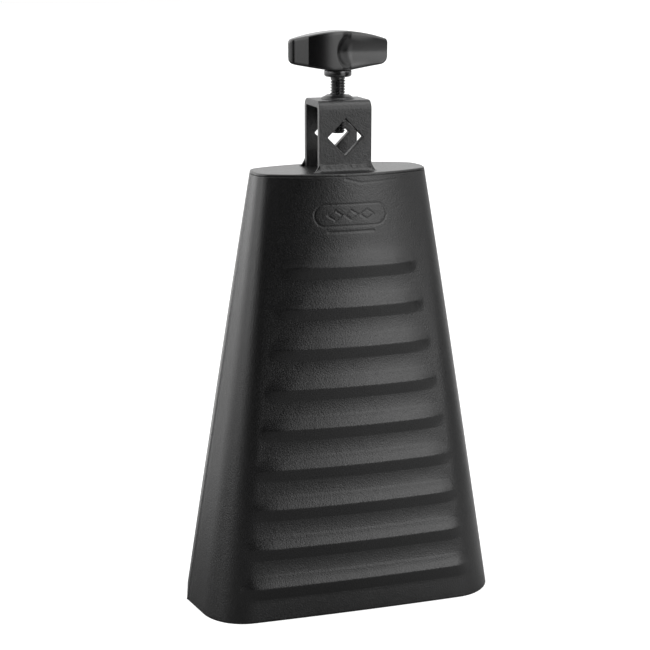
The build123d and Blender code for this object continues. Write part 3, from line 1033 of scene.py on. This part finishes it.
def stage_material():
    """A pale floor: even where the camera sees it, with painted shade and painted light by place where
    reflections do.
    """
    material = bpy.data.materials.new("pale_floor")
    material.use_nodes = True
    nodes, links = material.node_tree.nodes, material.node_tree.links
    shader = nodes["Principled BSDF"]
    # This base colour is painted shade and painted light, which only reflections and bounces see.
    links.new(painted_floor_light_and_shade(nodes, links), shader.inputs["Base Color"])
    shader.inputs["Roughness"].default_value = 0.9
    shader.inputs["Specular IOR Level"].default_value = 0.0
    even = nodes.new("ShaderNodeBsdfDiffuse")
    even.inputs["Color"].default_value = SEEN_FLOOR
    glow = nodes.new("ShaderNodeEmission")
    glow.inputs["Strength"].default_value = FLOOR_GLOW
    seen = nodes.new("ShaderNodeAddShader")
    links.new(even.outputs[0], seen.inputs[0])
    links.new(glow.outputs[0], seen.inputs[1])
    mix = nodes.new("ShaderNodeMixShader")
    links.new(nodes.new("ShaderNodeLightPath").outputs["Is Camera Ray"], mix.inputs[0])
    links.new(shader.outputs[0], mix.inputs[1])
    links.new(seen.outputs[0], mix.inputs[2])
    links.new(mix.outputs[0], nodes["Material Output"].inputs["Surface"])
    return material


bpy.ops.mesh.primitive_grid_add(x_subdivisions=8, y_subdivisions=8, size=FLOOR_SIZE)
floor = bpy.context.object
floor.name = "floor"
floor.data.materials.append(stage_material())


def panel(nodes, links, direction, start, end, start_softness, end_softness, strength, lean):
    """A standing panel of light between two bearings, in degrees from -Y round by -X."""
    start, end = radians(start), radians(end)
    start_axis = (-cos(start), sin(start), 0)
    end_axis = (cos(end), -sin(end), -lean)
    after = ramp_node(nodes, links, direction, start_axis, -start_softness, start_softness, strength)
    before = ramp_node(nodes, links, direction, end_axis, -end_softness, end_softness)
    return combine(nodes, links, "MULTIPLY", after, before)


PANELS = (
    # start, end, softness of each, strength, lean
    (60.0, 225.0, 0.56, 0.40, 1.35, 0.0),
    (112.0, 152.0, 0.35, 0.15, 2.3, 0.0),
    (64.0, 94.0, 0.12, 0.12, 1.8, 0.0),
    (-40.0, -10.5, 0.12, 0.18, 4.2, 0.18),
    (-115.0, -38.0, 0.50, 0.12, 1.2, 0.0),
)
DARK_BETWEEN_PANELS = 0.015


def build_world():
    """Soft panels round the object and one overhead. The camera sees an even background."""
    world = bpy.data.worlds.new("studio")
    bpy.context.scene.world = world
    world.use_nodes = True
    nodes, links = world.node_tree.nodes, world.node_tree.links
    direction = nodes.new("ShaderNodeTexCoord").outputs["Generated"]
    parts = [panel(nodes, links, direction, *numbers) for numbers in PANELS]
    parts.append(ramp_node(nodes, links, direction, (0.2, 0.0, 0.98), 0.75, 0.97, 1.3))
    base = nodes.new("ShaderNodeValue")
    base.outputs[0].default_value = DARK_BETWEEN_PANELS
    total = base.outputs[0]
    for part in parts:
        total = combine(nodes, links, "ADD", total, part)
    seen = nodes.new("ShaderNodeMix")
    links.new(nodes.new("ShaderNodeLightPath").outputs["Is Camera Ray"], seen.inputs[0])
    links.new(total, seen.inputs[2])
    seen.inputs[3].default_value = SEEN_BACKGROUND
    links.new(seen.outputs[0], nodes["Background"].inputs["Strength"])
    nodes["Background"].inputs["Color"].default_value = (1, 1, 1, 1)


build_world()


def area_light(name, place, aim, size, power):
    """A soft rectangular lamp, in metres and watts."""
    light = bpy.data.lights.new(name, "AREA")
    light.shape = "RECTANGLE"
    light.size, light.size_y = size
    light.energy = power
    lamp = bpy.data.objects.new(name, light)
    lamp.location = place
    lamp.rotation_euler = (Vector(aim) - Vector(place)).to_track_quat("-Z", "Y").to_euler()
    bpy.context.scene.collection.objects.link(lamp)


area_light("overhead", place=(0.5, -0.1, 1.5), aim=(0, 0, 0.15), size=(1.0, 0.8), power=3.0)

CAMERA_PLACE = (-0.2192, -0.7095, 0.3303)
CAMERA_AIM = (-0.00676, 0.0, 0.14588)

camera_data = bpy.data.cameras.new("camera")
camera_data.sensor_width = 36.0
camera_data.lens = 80.3
camera = bpy.data.objects.new("camera", camera_data)
camera.location = CAMERA_PLACE
look = Vector(CAMERA_AIM) - camera.location
camera.rotation_euler = look.to_track_quat("-Z", "Y").to_euler()
bpy.context.scene.collection.objects.link(camera)
bpy.context.scene.camera = camera
bpy.context.scene.view_settings.view_transform = "Standard"
